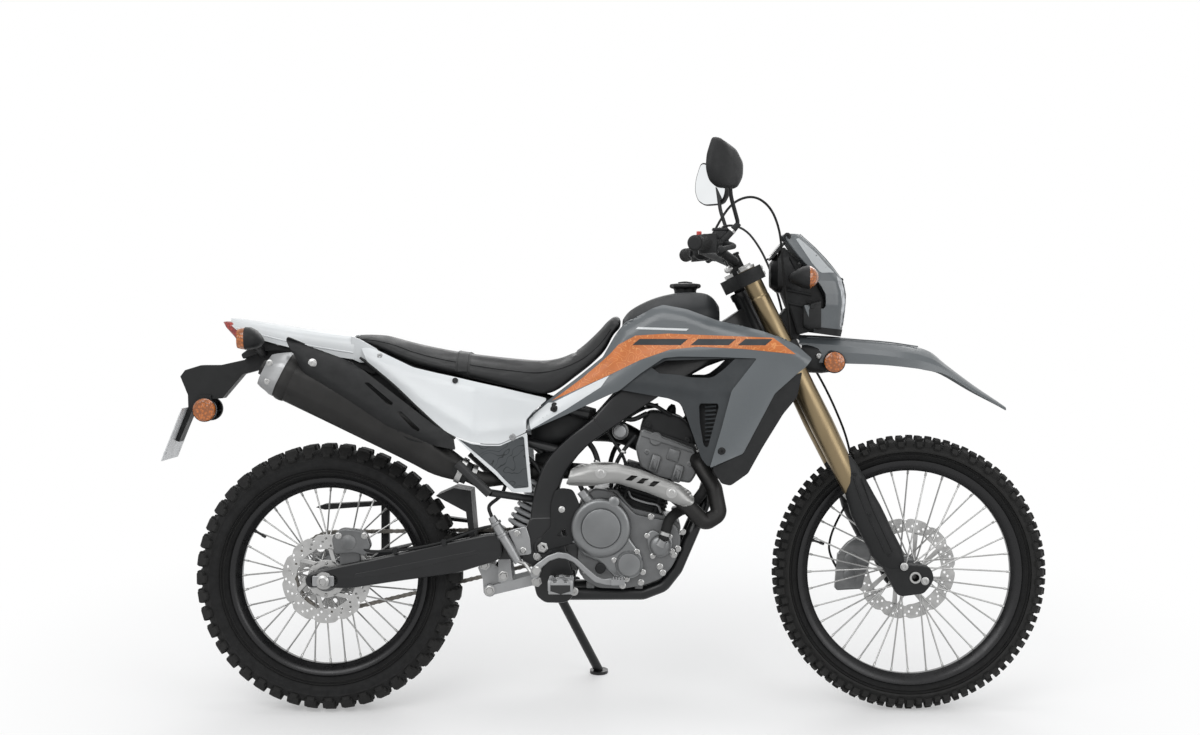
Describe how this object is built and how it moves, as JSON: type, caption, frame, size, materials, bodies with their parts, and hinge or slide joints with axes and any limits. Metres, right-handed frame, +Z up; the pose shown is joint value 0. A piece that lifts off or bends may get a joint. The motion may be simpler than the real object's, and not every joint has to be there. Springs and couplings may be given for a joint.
{
  "type": "dual sport motorcycle",
  "caption": "Dual sport motorcycle with spoked wheels, long-travel fork, high fender, slim tank and seat, high muffler, parked leaning on its side stand.",
  "frame": {"origin": "centre of the parked motorcycle's bounding box, on the ground", "axes": "+X forward, +Y to the rider's left, +Z up; the motorcycle leans 9 degrees towards +Y"},
  "size_m": [2.2038, 0.8379, 1.4433],
  "materials": {
    "black_plastic": "matt black moulded plastic",
    "grey_plastic": "satin mid grey plastic",
    "white_plastic": "satin white plastic",
    "dark_plastic": "matt dark grey plastic",
    "tank_paint": "satin black paint",
    "frame_paint": "satin black paint",
    "seat_cover": "black grained vinyl",
    "tyre_rubber": "black rubber",
    "grip_rubber": "black rubber",
    "rim_black": "black anodised",
    "cast_aluminium": "cast aluminium",
    "gold_tube": "gold anodised",
    "steel": "bright steel",
    "pipe_steel": "heat-dulled steel",
    "chain_steel": "oiled steel",
    "amber_lens": "amber lens"
  },
  "bodies": {
    "frame": {"swingarm": "rim_black", "linkage": "cast_aluminium", "shock": "steel", "frame_spars": "frame_paint", "frame_cradle": "frame_paint", "subframe": "frame_paint", "engine_case": "cast_aluminium", "engine_covers": "cast_aluminium", "cylinder": "cast_aluminium", "cylinder_head": "cast_aluminium", "header_pipe": "pipe_steel", "header_shield": "steel", "muffler": "frame_paint", "muffler_end_cap": "cast_aluminium", "muffler_shield": "black_plastic", "radiators": "cast_aluminium", "fuel_tank": "tank_paint", "tank_cap": "black_plastic", "seat": "seat_cover", "shrouds": "grey_plastic", "shroud_panels": "dark_plastic", "air_guides": "black_plastic", "side_panels": "white_plastic", "side_covers": "dark_plastic", "rear_fender": "white_plastic", "rear_lamps": "amber_lens", "plate_bracket": "black_plastic", "number_plate": "cast_aluminium", "rear_guards": "black_plastic", "chain": "chain_steel", "foot_pegs": "steel", "foot_levers": "cast_aluminium", "rear_brake": "cast_aluminium"},
    "steering": {"triple_clamps": "rim_black", "fork_uppers": "gold_tube", "fork_lowers": "black_plastic", "handlebar": "frame_paint", "grips": "grip_rubber", "hand_controls": "black_plastic", "mirrors": "black_plastic", "headlight_cowl": "grey_plastic", "instrument": "black_plastic", "front_lamps": "amber_lens", "front_fender": "grey_plastic", "front_caliper": "cast_aluminium", "front_brake_hose": "grip_rubber", "clutch_cable": "grip_rubber", "caliper_hose": "grip_rubber"},
    "front_wheel": {"front_tyre": "tyre_rubber", "front_rim": "rim_black", "front_hub": "cast_aluminium", "front_spokes": "steel", "front_disc": "steel"},
    "rear_wheel": {"rear_tyre": "tyre_rubber", "rear_rim": "rim_black", "rear_hub": "cast_aluminium", "rear_spokes": "steel", "rear_disc": "steel", "rear_sprocket": "steel"},
    "side_stand": {"side_stand": "frame_paint"}
  },
  "joints": [
    {"name": "steering", "type": "hinge", "parent": "frame", "child": "steering", "pos_m": [0.40586, -0.05008, 0.89465], "axis": [-0.4384, 0.1406, 0.8877], "range_deg": [-45, 45]},
    {"name": "front_wheel_spin", "type": "hinge", "parent": "steering", "child": "front_wheel", "pos_m": [0.75989, -0.13794, 0.33992], "axis": [0, 0.9877, -0.1564], "continuous": true},
    {"name": "rear_wheel_spin", "type": "hinge", "parent": "frame", "child": "rear_wheel", "pos_m": [-0.6951, -0.13939, 0.33073], "axis": [0, 0.9877, -0.1564], "continuous": true},
    {"name": "side_stand", "type": "hinge", "parent": "frame", "child": "side_stand", "pos_m": [-0.14711, -0.01852, 0.28845], "axis": [0.066, 0.9336, 0.3522], "range_deg": [0, 100]}
  ]
}
